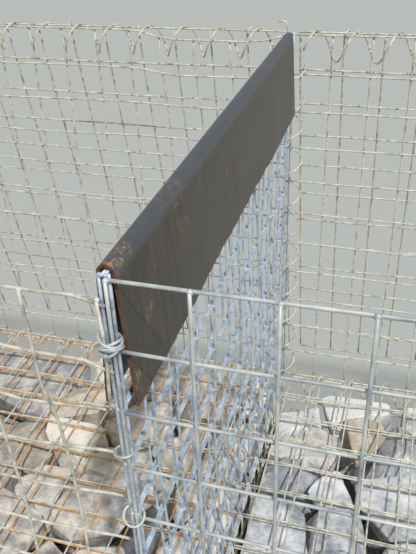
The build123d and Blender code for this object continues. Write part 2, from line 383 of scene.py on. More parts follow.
@dataclass(frozen=True)
class QuarryStone:
    """Broken quarry limestone: pale grey faces, blue-grey clefts, a little tan dust."""

    name: str = "broken_quarry_stone"
    pale: str = "EAE5DC"
    middle: str = "CFCAC1"
    cleft: str = "96979B"
    tan: str = "D2B88F"
    mottle_mm: float = 38.0
    dust_mm: float = 120.0
    pit_mm: float = 9.0

    def material(self) -> bpy.types.Material:
        """Builds the stone's finish.

        Returns:
            The material.
        """
        material, tree = new_material(self.name)
        where = add_node(tree, "ShaderNodeTexCoord").outputs["Object"]
        tone = add_node(tree, "ShaderNodeAttribute", attribute_name="stone_tone")
        mottle = add_node(tree, "ShaderNodeTexNoise",
                          {"Scale": per_metre(self.mottle_mm), "Detail": 8.0, "Roughness": 0.66},
                          {"Vector": where})
        shifted = add_node(tree, "ShaderNodeMath", {1: 0.20}, {0: tone.outputs["Fac"]},
                           operation="MULTIPLY")
        level = add_node(tree, "ShaderNodeMath",
                         links={0: mottle.outputs["Fac"], 1: shifted.outputs["Value"]}, operation="ADD")
        body = add_node(tree, "ShaderNodeValToRGB", links={"Fac": level.outputs["Value"]})
        set_ramp(body, ((0.34, self.cleft), (0.50, self.middle), (0.64, self.pale)))
        dust = add_node(tree, "ShaderNodeTexNoise", {"Scale": per_metre(self.dust_mm), "Detail": 5.0},
                        {"Vector": where})
        warm = add_node(tree, "ShaderNodeAttribute", attribute_name="stone_warm")
        dusty = add_node(tree, "ShaderNodeMath",
                         links={0: dust.outputs["Fac"], 1: warm.outputs["Fac"]}, operation="MULTIPLY")
        colour = add_node(tree, "ShaderNodeMix", {MIX_B: linear(self.tan)},
                          {0: dusty.outputs["Value"], MIX_A: body.outputs["Color"]},
                          data_type="RGBA")
        pits = add_node(tree, "ShaderNodeTexNoise",
                        {"Scale": per_metre(self.pit_mm), "Detail": 10.0, "Roughness": 0.7},
                        {"Vector": where})
        bump = add_node(tree, "ShaderNodeBump", {"Strength": 0.85, "Distance": 4.0 * MM},
                        {"Height": pits.outputs["Fac"]})
        shader = add_node(tree, "ShaderNodeBsdfPrincipled", {"Roughness": 0.88},
                          {"Base Color": colour.outputs[MIX_OUT], "Normal": bump.outputs["Normal"]})
        add_node(tree, "ShaderNodeOutputMaterial", links={"Surface": shader.outputs["BSDF"]})
        return material


STONE_CREAM = QuarryStone()
# Cleaner stone, blue-grey without the cream
STONE_GREY = QuarryStone("broken_quarry_stone_grey", pale="E9EAEA", middle="CBCED1", cleft="8C929B")


class Finishes:
    """Each finish's material, made once."""

    def __init__(self) -> None:
        """Starts with none made."""
        self.made: dict[str, bpy.types.Material] = {}

    def get(self, finish: DrawnWireZinc | HotRolledPlate | QuarryStone) -> bpy.types.Material:
        """Hands out the material of a finish.

        Args:
            finish: the finish wanted.

        Returns:
            Its material.
        """
        if finish.name not in self.made:
            self.made[finish.name] = finish.material()
        return self.made[finish.name]


class MeshStock:
    """Gathers vertices and faces, and turns them into one object."""

    def __init__(self) -> None:
        """Starts empty."""
        self.points: list[np.ndarray] = []
        self.faces: list[tuple[int, ...]] = []
        self.count = 0

    def add(self, points: np.ndarray, faces: Iterable[tuple[int, ...]]) -> None:
        """Adds a form.

        Args:
            points: its vertices, one row each.
            faces: its faces, counted from its own first vertex.
        """
        self.faces.extend(tuple(corner + self.count for corner in face) for face in faces)
        self.points.append(points)
        self.count += len(points)

    def tube(self, path: np.ndarray, radius: float, sides: int, side_hint: Point) -> None:
        """Adds a round bar along a path, with closed ends.

        Args:
            path: the centre line, one row a point.
            radius: of the bar.
            sides: faces round it.
            side_hint: a direction that the path never runs along.
        """
        ahead = np.gradient(path, axis=0)
        ahead /= np.linalg.norm(ahead, axis=1)[:, None]
        first = np.cross(ahead, np.array(side_hint))
        first /= np.linalg.norm(first, axis=1)[:, None]
        second = np.cross(ahead, first)
        turn = np.arange(sides) * tau / sides
        rings = (path[:, None, :] + radius * (np.cos(turn)[None, :, None] * first[:, None, :]
                                              + np.sin(turn)[None, :, None] * second[:, None, :]))
        faces: list[tuple[int, ...]] = []
        for step in range(len(path) - 1):
            low, high = step * sides, (step + 1) * sides
            faces += [(low + i, low + (i + 1) % sides, high + (i + 1) % sides, high + i)
                      for i in range(sides)]
        last = (len(path) - 1) * sides
        faces.append(tuple(range(sides))[::-1])
        faces.append(tuple(last + i for i in range(sides)))
        self.add(rings.reshape(-1, 3), faces)

    def weld(self, place: np.ndarray, reach: float) -> None:
        """Adds a weld nugget at a place, reach being half its width."""
        self.add(place + BEAD_POINTS * reach, BEAD_FACES)

    def build(self, name: str, material: bpy.types.Material) -> bpy.types.Object:
        """Makes the object of that name and finish from all that was added."""
        return new_object(name, smooth_mesh(name, np.vstack(self.points).tolist(), self.faces), material)


def bead() -> tuple[np.ndarray, list[tuple[int, ...]]]:
    """Makes the unit bead of a weld: two rings of five vertices and two poles.

    Returns:
        Its vertices and its faces.
    """
    sides, ring_height = 5, 0.45
    wide = sqrt(1 - ring_height ** 2)
    points = [(0.0, 0.0, 1.0)]
    for height, turn_by in ((ring_height, 0.0), (-ring_height, 0.5)):
        points += [(wide * cos(tau * (i + turn_by) / sides), wide * sin(tau * (i + turn_by) / sides),
                    height) for i in range(sides)]
    points.append((0.0, 0.0, -1.0))
    faces: list[tuple[int, ...]] = []
    for i in range(sides):
        after = (i + 1) % sides
        faces += [(0, 1 + i, 1 + after), (1 + i, 6 + i, 1 + after), (1 + after, 6 + i, 6 + after),
                  (6 + i, 11, 6 + after)]
    return np.array(points), faces


BEAD_POINTS, BEAD_FACES = bead()


@dataclass(frozen=True)
class Bow:
    """A dent in a sheet: how deep, where its middle is and how far it reaches."""

    depth: float
    across: float
    up: float
    reach_across: float
    reach_up: float

    def at(self, across: np.ndarray, up: np.ndarray) -> np.ndarray:
        """Depth of the dent at places of the sheet."""
        return self.depth * np.exp(-((across - self.across) / self.reach_across) ** 2
                                   - ((up - self.up) / self.reach_up) ** 2)


@dataclass(frozen=True)
class Crush:
    """A stretch of a sheet's top that is bent down: where it starts and ends, and by how much."""

    start: float = 0.0
    end: float = 0.0
    drop: float = 0.0
    sideways: float = 0.8
    start_ease: float = MESH
    end_ease: float = 0.4 * MESH
    fade: float = 1.8 * MESH
    fade_from: float = 1.25

    def at(self, across: np.ndarray, below_top: np.ndarray) -> np.ndarray:
        """Drop at places of the sheet."""
        along = (np.clip((across - self.start) / self.start_ease, 0, 1)
                 * np.clip((self.end - across) / self.end_ease, 0, 1))
        return self.drop * along * np.clip(self.fade_from - below_top / self.fade, 0, 1)


def wire_places(start: float, end: float, first: float) -> Places:
    """Places of a sheet's parallel wires.

    Args:
        start: its one edge wire.
        end: its other edge wire.
        first: place of any wire of the grid between them.

    Returns:
        Both edges, and the grid's wires that lie between.
    """
    grid = [first + step * MESH for step in range(-ALONG - 1, ALONG + 2)]
    inner = [place for place in grid if start + WIRE < place < end - WIRE]
    return [start] + inner + [end]


@dataclass
class WireSheet:
    """One welded sheet: uprights lie on its outer face, level wires on its inner one."""

    node: str
    facing: Facing
    finish: DrawnWireZinc
    body: str = "wall"
    seed: int = 1
    sides: int = 6
    outer: float = -1.0
    layer: float = LAYER_STEP
    grid_across: float = 0.0
    grid_up: float = 0.0
    open_top: bool = False
    sway: float = 1.5 * MM
    sway_ease: float = 1.5 * MESH
    slack: float = 0.5 * MM
    nugget: tuple[float, float] = (2.3 * MM, 2.9 * MM)
    corner_nugget: float = 1.35
    bows: tuple[Bow, ...] = ()
    crushed: Crush = Crush()
    slip: float = 0.0
    edge_ease: float = MESH
    free_below: float | None = None
    free_ease: float = 0.5 * MESH
    gathered: float = 0.0
    gather_reach: float = 0.8 * MESH
    # openings below the top, and how far the pull spreads from there
    gather_below: float = 0.7
    gather_spread: float = 1.7

    def extent(self) -> tuple[float, float, float, float, float]:
        """Edge wires across, edge wires up and the sheet's middle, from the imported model.

        Returns:
            First and last wire across, first and last wire up, and the middle plane's place.
        """
        low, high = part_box(self.node)
        order = {Facing.LEVEL: (0, 1, 2), Facing.ALONG: (0, 2, 1), Facing.ACROSS: (1, 2, 0)}
        a, b, c = order[self.facing]
        return (low[a] + HALF, high[a] - HALF, low[b] + HALF, high[b] - HALF, (low[c] + high[c]) / 2)

    def place(self, across: np.ndarray, up: np.ndarray, off: np.ndarray) -> np.ndarray:
        """Puts places of the sheet in the wall's frame.

        Args:
            across: places along the sheet's first direction.
            up: places along its second one.
            off: places along the axis that it faces.

        Returns:
            Points, one row each.
        """
        order = {Facing.LEVEL: (across, up, off), Facing.ALONG: (across, off, up),
                 Facing.ACROSS: (off, across, up)}
        return np.stack(order[self.facing], axis=1)

    def build(self, finishes: Finishes) -> bpy.types.Object:
        """Makes the sheet's wires and welds.

        Args:
            finishes: where the material comes from.

        Returns:
            The piece.
        """
        first, last, foot, top, middle = self.extent()
        uprights = wire_places(first, last, first + self.grid_across)
        if self.slip:
            uprights.pop()
        rows = wire_places(foot, top, top - self.grid_up)
        return self.weave(finishes, uprights, rows,
                          lambda across, up, out: self.place(across, up, middle + out))

    def weave(self, finishes: Finishes, uprights: Places, rows: Places,
              put: Callable[[np.ndarray, np.ndarray, np.ndarray], np.ndarray]) -> bpy.types.Object:
        """Runs every wire through the sheet's dents and sways, and beads each crossing.

        Args:
            finishes: where the material comes from.
            uprights: places of the uprights.
            rows: places of the level wires.
            put: turns sheet places into points.

        Returns:
            The sheet.
        """
        draw = np.random.default_rng(self.seed)
        first, last, foot, top = uprights[0], uprights[-1], rows[0], rows[-1]
        waves = draw.uniform(2.0, 5.0, (4, 2)), draw.uniform(0.0, tau, 4), draw.uniform(0.4, 1.0, 4)

        def dent(across: np.ndarray, up: np.ndarray) -> np.ndarray:
            """Distance of the sheet from its plane.

            Args:
                across: places along the sheet's first direction.
                up: places along its second one.

            Returns:
                The distances: none at the held edges.
            """
            beyond = np.clip((last - across) / self.edge_ease, 0, 1)
            if self.free_below is not None:
                beyond = np.maximum(beyond, np.clip((self.free_below - up) / self.free_ease, 0, 1))
            beside = np.minimum(np.clip((across - first) / MESH, 0, 1), beyond)
            held = beside * np.clip(np.minimum(up - foot, top - up) / self.sway_ease, 0, 1)
            depth = sum((beside * bow.at(across, up) for bow in self.bows), np.zeros_like(across))
            for (fa, fu), phase, share in zip(*waves):
                depth = depth + held * self.sway * share * np.sin(fa * across * 3 + fu * up * 3 + phase)
            return depth

        def gather(across: np.ndarray, up: np.ndarray) -> np.ndarray:
            """How far the rings pull the sheet's last upright along the wall, and up.

            Args:
                across: places along the sheet's first direction.
                up: places along its second one.

            Returns:
                The pull, which ends at the wires' stubs.
            """
            near = np.exp(-((last - across) / self.gather_reach) ** 2
                          - ((top - up) / MESH - self.gather_below) ** 2 / self.gather_spread)
            stub = np.clip((last + self.slip - across) / max(self.slip, 1 * MM), 0, 1)
            return self.gathered * near * stub

        def line(across: np.ndarray, up: np.ndarray, off: float) -> np.ndarray:
            """Runs places of the sheet through all that bends it.

            Args:
                across: places along the sheet's first direction.
                up: places along its second one.
                off: layers off the middle.

            Returns:
                Points, one row each.
            """
            fall, pull = self.crushed.at(across, top - up), gather(across, up)
            return put(across - self.crushed.sideways * fall + pull, up - fall + pull,
                       dent(across, up) + off * self.outer * self.layer)

        stock = MeshStock()
        hint = LEVEL_HINT if self.facing is Facing.LEVEL else UPRIGHT_HINT
        steps_up = max(2, int(round((top - foot) / (MESH / 2))))
        steps_across = max(2, int(round((last - first) / (MESH / 2))))
        for place in uprights:
            up = np.linspace(foot - HALF, top if self.open_top else top + HALF, steps_up + 1)
            across = place + draw.normal(0, self.slack) * np.sin(np.linspace(0, pi, len(up)))
            stock.tube(line(across, up, 1.0), HALF, self.sides, hint)
        for place in rows:
            stub = self.slip if self.free_below is None or place > self.free_below else 0.0
            across = np.linspace(first - HALF, last + HALF + stub, steps_across + 1)
            slack = 0.0 if place in (foot, top) else draw.normal(0, self.slack)
            up = place + slack * np.sin(np.linspace(0, pi, len(across)))
            stock.tube(line(across, up, -1.0), HALF, self.sides, LEVEL_HINT)
        grid = [(a, u) for a in uprights for u in rows]
        across, up = np.array([a for a, _ in grid]), np.array([u for _, u in grid])
        for (_, height), point in zip(grid, line(across, up, 0.0)):
            fillet = self.corner_nugget if self.open_top and height == top else 1.0
            stock.weld(point, fillet * draw.uniform(*self.nugget))
        piece = stock.build(f"{self.node}_wires", finishes.get(self.finish))
        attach(piece, self.body)
        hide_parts(self.node)
        return piece


@dataclass
class HangingLid(WireSheet):
    """Lid that hangs behind its basket. Its top level wire is the pin that it turns on."""

    joint: str = "lid_left_hinge"
    edge_room: float = MESH / 4

    def build(self, finishes: Finishes) -> bpy.types.Object:
        """Makes the lid's wires in its hanging plane.

        Args:
            finishes: where the material comes from.

        Returns:
            The piece.
        """
        low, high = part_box(self.node)
        joint = next(j for j in FRAME["record"]["behaviour"]["joints"] if j["name"] == self.joint)
        _, pin_y, pin_z = joint["pos_m"]
        reach = DEEP * MESH
        lean = asin((high[1] - HALF - pin_y) / reach)
        first, *inner, last = wire_places(low[0] + HALF, high[0] - HALF, self.grid_across)
        inner = [place for place in inner if first + self.edge_room < place < last - self.edge_room]
        rows = [-reach + step * MESH for step in range(DEEP + 1)]

        def put(across: np.ndarray, down: np.ndarray, out: np.ndarray) -> np.ndarray:
            """Turns lid places into points: down is minus the distance from the pin."""
            out = np.where(down == 0.0, 0.0, out - LAYER_STEP)
            return np.stack([across, pin_y - down * sin(lean) + out * cos(lean),
                             pin_z + down * cos(lean) + out * sin(lean)], axis=1)

        return self.weave(finishes, [first, *inner, last], rows, put)


@dataclass
class LacingCoil:
    """Coil of wire screwed through two sheets' edges.

    Its wire passes the direction toward at the place touch along the axis, and a pitch apart
    from there.
    """

    origin: Point
    along: Point
    toward: Point
    touch: float
    first: float
    last: float
    left_handed: bool
    seed: int
    wander: float = 3.0 * MM
    slack: float = 0.045
    turn_steps: int = 18

    def run(self, stock: MeshStock) -> None:
        """Adds the coil to a mesh.

        Args:
            stock: the mesh that takes it.
        """
        draw = np.random.default_rng(self.seed)
        begin, end = (self.first - self.touch) / MESH, (self.last - self.touch) / MESH
        turn = np.linspace(begin, end, int((end - begin) * self.turn_steps) + 1)
        axis, first = np.array(self.along), np.array(self.toward)
        second = np.cross(axis, first) * (-1 if self.left_handed else 1)
        slow = [(draw.uniform(0.15, 0.45), draw.uniform(0, tau), draw.uniform(0.3, 0.6)) for _ in range(3)]
        drift = sum(share * np.sin(rate * tau * turn / 2 + phase) for rate, phase, share in slow)
        swell = 1 - self.slack * (1 + sum(share * np.sin(rate * tau * turn + phase + 2)
                                          for rate, phase, share in slow)) / 2
        middle = (np.array(self.origin)
                  + np.outer(self.touch + turn * MESH + 0.5 * self.wander * drift, axis))
        round_it = np.outer(np.cos(turn * tau), first) + np.outer(np.sin(turn * tau), second)
        stock.tube(middle + COIL_RADIUS * swell[:, None] * round_it, COIL_HALF, COIL_SIDES, self.along)


@dataclass(frozen=True)
class PartTurn:
    """Loose part turn of a second lacing wire at the party corner, in front of the lids."""

    height_mm: float
    begin: float = -100.0
    end: float = 30.0
    climb_mm: tuple[float, float] = (-8, 14)
    in_front: float = 2 * MM

    def path(self, back: float, top: float) -> np.ndarray:
        """Centre line of the wire.

        Args:
            back: place of the upright coils' axis in the wall's depth.
            top: height of the back panels' top wire, which height_mm counts from.

        Returns:
            The line, one row a point.
        """
        turn = np.radians(np.linspace(self.begin, self.end, PART_TURN_STEPS))
        rise = top + (self.height_mm + np.linspace(*self.climb_mm, PART_TURN_STEPS)) * MM
        return np.stack([PARTY_LINE + COIL_RADIUS * np.cos(turn),
                         back + COIL_RADIUS * np.sin(turn) - self.in_front, rise], axis=1)


@dataclass(frozen=True)
class TopClip:
    """Small open clip round a back top wire and the lid's edge wire."""

    x: float
    lean: float
    radius: float = 7.5 * MM
    begin: float = 0.4
    share: float = 0.86
    steps: int = 16

    def path(self, y: float, z: float) -> np.ndarray:
        """Centre line of the clip.

        Args:
            y: place of its middle in the wall's depth.
            z: height of its middle.

        Returns:
            The line, one row a point.
        """
        turn = np.linspace(self.begin, self.begin + self.share * tau, self.steps)
        out, rise = self.radius * np.cos(turn), self.radius * np.sin(turn)
        return np.stack([self.x + self.lean * out, y + out, z + rise], axis=1)


def smooth_path(corners: Iterable[Point], steps: int = 6) -> np.ndarray:
    """Rounds a chain of points into a bent wire's centre line.

    Args:
        corners: the points that it passes, in millimetres.
        steps: points from one to the next.

    Returns:
        The line, one row a point, in metres.
    """
    points = list(corners)
    chain = np.array([points[0], *points, points[-1]], dtype=float) * MM
    line = []
    for a, b, c, d in zip(chain, chain[1:], chain[2:], chain[3:]):
        for share in np.arange(steps) / steps:
            line.append(0.5 * (2 * b + (c - a) * share + (2 * a - 5 * b + 4 * c - d) * share ** 2
                               + (3 * b - a - 3 * c + d) * share ** 3))
    return np.array(line + [chain[-1]])


@dataclass
class CoilSet:
    """The coils of one node, with the loose wires beside them."""

    node: str
    coils: list[LacingCoil]
    loose: list[np.ndarray] = field(default_factory=list)
    finish: DrawnWireZinc = ZINC_COIL

    def build(self, finishes: Finishes) -> bpy.types.Object:
        """Makes the coils as one piece.

        Args:
            finishes: where the material comes from.

        Returns:
            The piece.
        """
        stock = MeshStock()
        for coil in self.coils:
            coil.run(stock)
        for path in self.loose:
            flat_side = np.linalg.svd(path - path.mean(axis=0))[2][2]
            stock.tube(path, COIL_HALF, COIL_SIDES, tuple(flat_side))
        piece = stock.build(f"{self.node}_wire", finishes.get(self.finish))
        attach(piece, "wall")
        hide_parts(self.node)
        return piece


@dataclass
class CrimpedRings:
    """Open steel rings closed with pliers: their ends overlap."""

    node: str
    places: list[tuple[Point, float]]
    seed: int
    finish: DrawnWireZinc = ZINC_FRONT
    wraps: float = 1.12
    tilt: float = 0.50
    swell: tuple[float, float] = (1.15, 1.4)
    hang: float = 0.7
    overlap_rise: float = 0.5 * RING_WIRE
    steps: int = 27
    sides: int = 7

    def build(self, finishes: Finishes) -> bpy.types.Object:
        """Makes the rings as one piece.

        Args:
            finishes: where the material comes from.

        Returns:
            The piece.
        """
        draw = np.random.default_rng(self.seed)
        stock = MeshStock()
        for (x, y, z), radius in self.places:
            gap = draw.uniform(0, tau)
            turn = np.linspace(gap, gap + self.wraps * tau, self.steps)
            lift = (turn - gap) / tau - self.wraps / 2
            tilt_x, tilt_y = draw.uniform(-self.tilt, self.tilt, 2)
            wide = radius * draw.uniform(*self.swell)
            along_x, along_y = wide * np.cos(turn), wide * np.sin(turn) - self.hang * (wide - radius)
            height = z + lift * self.overlap_rise + tilt_x * along_x + tilt_y * along_y
            path = np.stack([x + along_x, y + along_y, height], axis=1)
            stock.tube(path, RING_WIRE / 2, self.sides, LEVEL_HINT)
        piece = stock.build(f"{self.node}_wire", finishes.get(self.finish))
        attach(piece, "wall")
        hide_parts(self.node)
        return piece


@dataclass
class FillingGuard:
    """Folded plate that rides the party sheets while the cells are filled."""

    node: str = "filling_guard"
    finish: HotRolledPlate = HotRolledPlate()
    plate: float = 3.0 * MM
    inner: float = 6.0 * MM
    splay: float = radians(3.0)
    stations: int = 80
    leg_steps: int = 14
    crown_steps: int = 14
    burr: float = 1.4 * MM
    end_share: float = 0.008
    handled_share: float = 0.35
    sharp_angle: float = radians(40)
    seed: int = 11
    # height in millimetres and rate: two waves of the legs, two nicks of their feet, ragged ends
    ripples: tuple[tuple[float, float], ...] = ((0.9, 9), (0.5, 23), (0.5, 61), (0.4, 140), (0.4, 260))

    def profile(self, radius: float, leg: float) -> list[tuple[float, float]]:
        """Draws one skin of the section, from the right foot over the crown to the left foot.

        Args:
            radius: of the skin's crown.
            leg: length of each leg.

        Returns:
            Its corners, across and up from the crown's middle.
        """
        lean = self.splay
        shares = [0.0, self.burr / leg] + [i / self.leg_steps for i in range(1, self.leg_steps)]
        right = [(radius * cos(lean) + leg * (1 - share) * sin(lean),
                  radius * sin(lean) - leg * (1 - share) * cos(lean)) for share in shares]
        crown = [(radius * cos(angle), radius * sin(angle))
                 for angle in np.linspace(lean, pi - lean, self.crown_steps + 1)]
        left = [(-x, z) for x, z in reversed(right)]
        return right + crown + left

    def shell(self, count: int) -> list[tuple[int, ...]]:
        """Joins the stations' sections and closes both ends.

        Args:
            count: corners of a section, half of them on each skin.

        Returns:
            The faces.
        """
        faces = []
        for step in range(self.stations):
            for place in range(count):
                after = (place + 1) % count
                faces.append((step * count + place, (step + 1) * count + place,
                              (step + 1) * count + after, step * count + after))
        for base, flip in ((0, False), (self.stations * count, True)):
            for place in range(count // 2 - 1):
                quad = (base + place, base + place + 1, base + count - 2 - place, base + count - 1 - place)
                faces.append(quad[::-1] if flip else quad)
        return faces

    def build(self, finishes: Finishes) -> bpy.types.Object:
        """Draws the section along the wall's depth, with slight waves, nicked feet and ragged ends.

        Its mesh marks the cut edges, the handled end and the crown, where the painted highlight goes.

        Args:
            finishes: where the material comes from.

        Returns:
            The piece.
        """
        low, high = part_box(self.node)
        outer_radius = self.inner + self.plate
        crown_z = high[2] - outer_radius
        leg = (crown_z + outer_radius * sin(self.splay) - low[2]) / cos(self.splay)
        leg -= self.plate * sin(self.splay) / cos(self.splay)
        outside = self.profile(outer_radius, leg)
        section = outside + self.profile(self.inner, leg)[::-1]
        feet = (0, len(outside) - 1, len(outside), len(section) - 1)
        middle_x = (low[0] + high[0]) / 2
        phases = np.random.default_rng(self.seed).uniform(0, tau, 6)

        def ripple(order: int, place: float) -> float:
            """One of the plate's ripples at a place, in millimetres."""
            size, rate = self.ripples[order]
            return size * sin(place * rate + phases[order])

        points = []
        marks: dict[str, list[float]] = {"cut_edge": [], "handled": [], "crown": []}
        span = high[1] - low[1]
        rim = self.burr / span
        between = np.linspace(self.end_share, 1 - self.end_share, self.stations - 3)
        for share in [0.0, rim, *between.tolist(), 1 - rim, 1.0]:
            at_end = share in (0.0, 1.0)
            for place, (x, z) in enumerate(section):
                depth = min(1.0, max(0.0, -z) / leg)
                side = 1 if x > 0 else -1
                wave = depth * (ripple(0, share) + ripple(1, share))
                nick = ripple(2, share) + ripple(3, share) if place in feet else 0.0
                ragged = ripple(4, z) if at_end else 0.0
                points.append((middle_x + x + side * wave * MM, low[1] + span * share + ragged * MM,
                               crown_z + z + nick * MM))
                marks["cut_edge"].append(1.0 if at_end or place in feet else 0.0)
                marks["handled"].append(max(0.0, 1.0 - share / self.handled_share))
                # the crown mark places the painted highlight on the plate's top
                marks["crown"].append(1.0 if z > 0.0 else 0.0)
        data = smooth_mesh(f"{self.node}_plate", points, self.shell(len(section)))
        for name, values in marks.items():
            data.attributes.new(name, "FLOAT", "POINT").data.foreach_set("value", values)
        sharpen(data, self.sharp_angle)
        piece = new_object(f"{self.node}_plate", data, finishes.get(self.finish))
        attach(piece, "wall")
        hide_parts(self.node)
        return piece


def sharpen(data: bpy.types.Mesh, angle: float) -> None:
    """Marks edges that turn by more than angle as sharp.

    Args:
        data: the mesh, which changes.
        angle: in radians.
    """
    form = bmesh.new()
    form.from_mesh(data)
    bmesh.ops.recalc_face_normals(form, faces=form.faces)
    for edge in form.edges:
        if len(edge.link_faces) == 2 and edge.calc_face_angle(0) > angle:
            edge.smooth = False
    form.to_mesh(data)
    form.free()


@dataclass(frozen=True)
class PlacedStone:
    """A stone at a known place: others' middles stay out of its reach, a pull below zero shrinks it."""

    x: float
    y: float
    reach: float
    pull: float
    tan: bool = False


@dataclass
class StoneCell:
    """Loose quarry stone in one cell of the lower course, packed by hand against the mesh."""

    node: str
    seed: int
    finish: QuarryStone = STONE_CREAM
    placed: tuple[PlacedStone, ...] = ()
    spacing: float = 132 * MM
    jitter: float = 0.36
    uneven: float = 0.34
    joint: float = 4.5 * MM
    top_drop: float = 42 * MM
    face_drop: float = 12 * MM
    inset: float = 1 * MM
    # a stone whose middle lies deeper than this many spacings can't be seen
    seen_depth: float = 1.55
    # spacings below the cell's top at which a placed stone has its middle
    placed_depth: float = 0.45
    placed_flatness: tuple[float, float, float] = (1, 1, 1.6)
    neighbours: int = 25
    neighbour_reach: float = 2.6
    share_limits: tuple[float, float] = (0.28, 0.72)
    joint_spread: tuple[float, float] = (0.4, 2.2)
    break_tilt: float = 0.10
    top_tilt: float = 0.13
    face_tilt: float = 0.06
    back_off: tuple[float, float] = (0.05, 1.0)
    chips: tuple[int, int] = (3, 8)
    chip_reach: tuple[float, float] = (0.66, 0.92)
    merge: float = 4 * MM
    sliver: float = 2 * MM
    arris_mm: tuple[float, float] = (3.0, 7.0)
    arris_round: float = 0.6
    long_edge: float = 30 * MM
    # roughness of the broken faces: features a metre, their height, and what is worn off all over
    fine_rate: float = 30
    fine_mm: float = 3.2
    coarse_rate: float = 13
    coarse_mm: float = 4.0
    worn_mm: float = 2.5
    tone_spread: tuple[float, float] = (0.1, 0.42)
    dust_spread: tuple[float, float] = (0.15, 0.25)
    tan_warmth: float = 1.1
    tan_reach: float = 20 * MM
    low: np.ndarray = field(init=False)
    high: np.ndarray = field(init=False)
    draw: np.random.Generator = field(init=False)
    middles: np.ndarray = field(init=False)
    weights: np.ndarray = field(init=False)

    def __post_init__(self) -> None:
        """Sets out the stones: a jittered grid of middles, and each one's pull on its neighbours."""
        low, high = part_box(self.node)
        self.low, self.high = np.array(low) + self.inset, np.array(high) - self.inset
        self.draw = np.random.default_rng(self.seed)
        counts = np.maximum(1, np.round((self.high - self.low) / self.spacing)).astype(int)
        step = (self.high - self.low) / counts
        grid = np.stack(np.meshgrid(*[np.arange(c) for c in counts], indexing="ij"), axis=-1)
        grid = grid.reshape(-1, 3) + 0.5
        grid = grid + self.draw.uniform(-self.jitter, self.jitter, grid.shape)
        self.middles = self.low + grid * step
        self.weights = self.draw.uniform(-1, 1, len(grid)) * (self.uneven * self.spacing) ** 2 * 4
        for stone in self.placed:
            middle = np.array([stone.x, stone.y, self.high[2] - self.placed_depth * self.spacing])
            keep = np.linalg.norm((self.middles - middle) * self.placed_flatness, axis=1) > stone.reach
            self.middles = np.vstack([self.middles[keep], middle])
            self.weights = np.append(self.weights[keep], stone.pull)

    def neighbour_planes(self, at: int) -> list[Plane]:
        """Planes halfway to a stone's neighbours.

        Args:
            at: which stone.

        Returns:
            A place and a direction of each plane.
        """
        middle = self.middles[at]
        gaps = self.middles - middle
        spans = np.linalg.norm(gaps, axis=1)
        planes = []
        for other in np.argsort(spans)[1:self.neighbours + 1]:
            if spans[other] > self.neighbour_reach * self.spacing:
                break
            normal = gaps[other] / spans[other]
            share = 0.5 + (self.weights[at] - self.weights[other]) / (2 * spans[other] ** 2)
            share = min(self.share_limits[1], max(self.share_limits[0], share))
            tilted = normal + self.draw.normal(0, self.break_tilt, 3)
            room = normal * self.joint * self.draw.uniform(*self.joint_spread)
            planes.append((middle + gaps[other] * share - room, tilted / np.linalg.norm(tilted)))
        return planes

    def face_planes(self, middle: np.ndarray) -> list[Plane]:
        """Planes that keep a stone inside the mesh: an uneven one and a straight one a side.

        Args:
            middle: of the stone.

        Returns:
            A place and a direction of each plane.
        """
        planes = []
        for axis in range(3):
            for bound, sign in ((self.low[axis], -1.0), (self.high[axis], 1.0)):
                top = axis == 2 and sign > 0
                straight = np.zeros(3)
                straight[axis] = sign
                tilt = self.top_tilt if top else self.face_tilt
                uneven = straight + self.draw.normal(0, tilt, 3) * (np.arange(3) != axis)
                uneven /= np.linalg.norm(uneven)
                drop = self.top_drop if top else self.face_drop
                edge, back = middle.copy(), middle.copy()
                edge[axis] = bound
                back[axis] = bound - sign * self.draw.uniform(*self.back_off) * drop
                planes += [(back, uneven), (edge, straight)]
        return planes

    def carve(self, at: int) -> bmesh.types.BMesh | None:
        """Cuts one stone out of a block.

        Args:
            at: which stone.

        Returns:
            The stone, or None where nothing is left.
        """
        middle = self.middles[at]
        form = bmesh.new()
        bmesh.ops.create_cube(form, size=4 * self.spacing, matrix=Matrix.Translation(middle))
        for place, normal in self.neighbour_planes(at) + self.face_planes(middle):
            self.split(form, place, normal)
        for _ in range(self.draw.integers(*self.chips)):
            if form.verts:
                self.chip(form)
        if len(form.faces) < 4:
            form.free()
            return None
        return form

    def chip(self, form: bmesh.types.BMesh) -> None:
        """Knocks a corner off.

        Args:
            form: the stone, which changes.
        """
        normal = self.draw.normal(0, 1, 3)
        normal /= np.linalg.norm(normal)
        places = np.array([vert.co for vert in form.verts])
        heart = places.mean(axis=0)
        reach = float(((places - heart) @ normal).max())
        self.split(form, heart + normal * reach * self.draw.uniform(*self.chip_reach), normal)

    def split(self, form: bmesh.types.BMesh, place: np.ndarray, normal: np.ndarray) -> None:
        """Breaks off what lies beyond a plane.

        Args:
            form: the stone, which changes.
            place: a point of the plane.
            normal: its direction, towards what goes.
        """
        everything = form.verts[:] + form.edges[:] + form.faces[:]
        if not everything:
            return
        cut = bmesh.ops.bisect_plane(form, geom=everything, plane_co=Vector(place),
                                     plane_no=Vector(normal), clear_outer=True)
        rim = [item for item in cut["geom_cut"] if isinstance(item, bmesh.types.BMEdge)]
        if rim:
            bmesh.ops.edgenet_fill(form, edges=rim)

